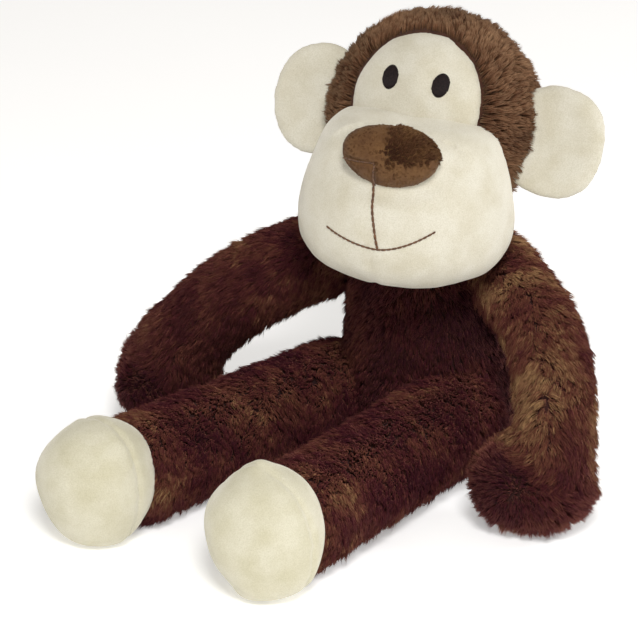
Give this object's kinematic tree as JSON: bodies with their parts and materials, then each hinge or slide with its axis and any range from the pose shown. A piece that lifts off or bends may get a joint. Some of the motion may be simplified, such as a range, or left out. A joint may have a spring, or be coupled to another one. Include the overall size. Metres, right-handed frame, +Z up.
{
  "type": "plush monkey",
  "caption": "Seated stuffed monkey with long dark plush limbs, cream face, muzzle, ears and feet, and floppy joints at neck, ears, arms and legs.",
  "frame": {"origin": "centre of the seat, the flat underside of the torso", "axes": "+Z up, the torso faces -Y, and its own left side is +X"},
  "size_m": [0.3388, 0.3247, 0.2778],
  "materials": {
    "dark_plush": "long dark brown pile, matt",
    "hood_plush": "shorter mid brown pile, matt",
    "cream_velour": "short cream pile with a soft sheen",
    "nose_plush": "short brown pile, brushed in two directions",
    "brown_thread": "twisted embroidery thread",
    "eye_felt": "dark satin-stitched oval",
    "wadding": "white polyester fibre fill"
  },
  "bodies": {
    "torso": {"torso_front_panel": "dark_plush", "torso_back_panel": "dark_plush", "torso_stuffing": "wadding"},
    "neck": {"neck_sleeve": "dark_plush", "neck_stuffing": "wadding"},
    "head": {"hood_left_panel": "hood_plush", "hood_right_panel": "hood_plush", "face_panel": "cream_velour", "head_stuffing": "wadding", "muzzle_left_panel": "cream_velour", "muzzle_right_panel": "cream_velour", "muzzle_stuffing": "wadding", "nose_cover": "nose_plush", "nose_padding": "wadding", "left_eye": "eye_felt", "right_eye": "eye_felt", "mouth_stitch": "brown_thread", "philtrum_stitch": "brown_thread"},
    "left_ear": {"left_ear_front_panel": "cream_velour", "left_ear_back_panel": "cream_velour", "left_ear_padding": "wadding"},
    "left_upper_arm": {"left_upper_arm_front_panel": "dark_plush", "left_upper_arm_back_panel": "dark_plush", "left_upper_arm_stuffing": "wadding"},
    "left_forearm": {"left_forearm_front_panel": "dark_plush", "left_forearm_back_panel": "dark_plush", "left_forearm_stuffing": "wadding"},
    "left_hand": {"left_hand_front_panel": "dark_plush", "left_hand_back_panel": "dark_plush", "left_hand_stuffing": "wadding"},
    "left_thigh": {"left_thigh_outer_panel": "dark_plush", "left_thigh_inner_panel": "dark_plush", "left_thigh_stuffing": "wadding"},
    "left_shin": {"left_shin_outer_panel": "dark_plush", "left_shin_inner_panel": "dark_plush", "left_shin_stuffing": "wadding"},
    "left_foot": {"left_foot_sole_panel": "cream_velour", "left_foot_ankle_panel": "cream_velour", "left_foot_stuffing": "wadding"},
    "right_ear": {"right_ear_front_panel": "cream_velour", "right_ear_back_panel": "cream_velour", "right_ear_padding": "wadding"},
    "right_upper_arm": {"right_upper_arm_front_panel": "dark_plush", "right_upper_arm_back_panel": "dark_plush", "right_upper_arm_stuffing": "wadding"},
    "right_forearm": {"right_forearm_front_panel": "dark_plush", "right_forearm_back_panel": "dark_plush", "right_forearm_stuffing": "wadding"},
    "right_hand": {"right_hand_front_panel": "dark_plush", "right_hand_back_panel": "dark_plush", "right_hand_stuffing": "wadding"},
    "right_thigh": {"right_thigh_outer_panel": "dark_plush", "right_thigh_inner_panel": "dark_plush", "right_thigh_stuffing": "wadding"},
    "right_shin": {"right_shin_outer_panel": "dark_plush", "right_shin_inner_panel": "dark_plush", "right_shin_stuffing": "wadding"},
    "right_foot": {"right_foot_sole_panel": "cream_velour", "right_foot_ankle_panel": "cream_velour", "right_foot_stuffing": "wadding"}
  },
  "joints": [
    {"name": "neck_turn", "type": "hinge", "parent": "torso", "child": "neck", "pos_m": [0.005, -0.006, 0.156], "axis": [0, 0, 1], "range_deg": [-45, 3]},
    {"name": "head_nod", "type": "hinge", "parent": "neck", "child": "head", "pos_m": [0.005, -0.006, 0.156], "axis": [0.9272, 0.3746, 0], "range_deg": [-17, 3]},
    {"name": "left_ear_fold", "type": "hinge", "parent": "head", "child": "left_ear", "pos_m": [0.07431, 0.00997, 0.20914], "axis": [0.0159, 0.1469, 0.989], "range_deg": [-30, 45]},
    {"name": "right_ear_fold", "type": "hinge", "parent": "head", "child": "right_ear", "pos_m": [-0.04916, -0.03861, 0.21833], "axis": [-0.0159, -0.1469, -0.989], "range_deg": [-30, 45]},
    {"name": "left_shoulder_raise", "type": "hinge", "parent": "torso", "child": "left_upper_arm", "pos_m": [0.046, 0.002, 0.121], "axis": [-0.3843, -0.9232, 0], "range_deg": [-6, 15]},
    {"name": "left_elbow_bend", "type": "hinge", "parent": "left_upper_arm", "child": "left_forearm", "pos_m": [0.11209, -0.02551, 0.10224], "axis": [0.1736, 0.8045, -0.5681], "range_deg": [-75, 6]},
    {"name": "left_wrist_bend", "type": "hinge", "parent": "left_forearm", "child": "left_hand", "pos_m": [0.13966, -0.05679, 0.06638], "axis": [0.447, 0.8155, -0.3675], "range_deg": [-75, 15]},
    {"name": "right_shoulder_raise", "type": "hinge", "parent": "torso", "child": "right_upper_arm", "pos_m": [-0.0466, -0.001, 0.121], "axis": [-0.8251, 0.565, 0], "range_deg": [0, 40]},
    {"name": "right_elbow_bend", "type": "hinge", "parent": "right_upper_arm", "child": "right_forearm", "pos_m": [-0.08673, -0.05961, 0.10026], "axis": [0.7858, -0.3601, -0.5029], "range_deg": [-75, 30]},
    {"name": "right_wrist_bend", "type": "hinge", "parent": "right_forearm", "child": "right_hand", "pos_m": [-0.12073, -0.08342, 0.06418], "axis": [0.6913, -0.6967, -0.1917], "range_deg": [-75, 15]},
    {"name": "left_hip_swing", "type": "hinge", "parent": "torso", "child": "left_thigh", "pos_m": [0.043, -0.028, 0.0325], "axis": [-0.9981, -0.061, 0], "range_deg": [-80, 15]},
    {"name": "left_knee_bend", "type": "hinge", "parent": "left_thigh", "child": "left_shin", "pos_m": [0.04874, -0.12183, 0.0325], "axis": [-0.9981, -0.061, 0], "range_deg": [-60, 15]},
    {"name": "left_ankle_bend", "type": "hinge", "parent": "left_shin", "child": "left_foot", "pos_m": [0.05338, -0.19768, 0.0325], "axis": [-0.9981, -0.061, 0], "range_deg": [-25, 20]},
    {"name": "right_hip_swing", "type": "hinge", "parent": "torso", "child": "right_thigh", "pos_m": [-0.043, -0.036, 0.0325], "axis": [-0.9936, 0.1132, 0], "range_deg": [-80, 15]},
    {"name": "right_knee_bend", "type": "hinge", "parent": "right_thigh", "child": "right_shin", "pos_m": [-0.05364, -0.1294, 0.0325], "axis": [-0.9936, 0.1132, 0], "range_deg": [-60, 15]},
    {"name": "right_ankle_bend", "type": "hinge", "parent": "right_shin", "child": "right_foot", "pos_m": [-0.06225, -0.20491, 0.0325], "axis": [-0.9936, 0.1132, 0], "range_deg": [-25, 20]}
  ]
}
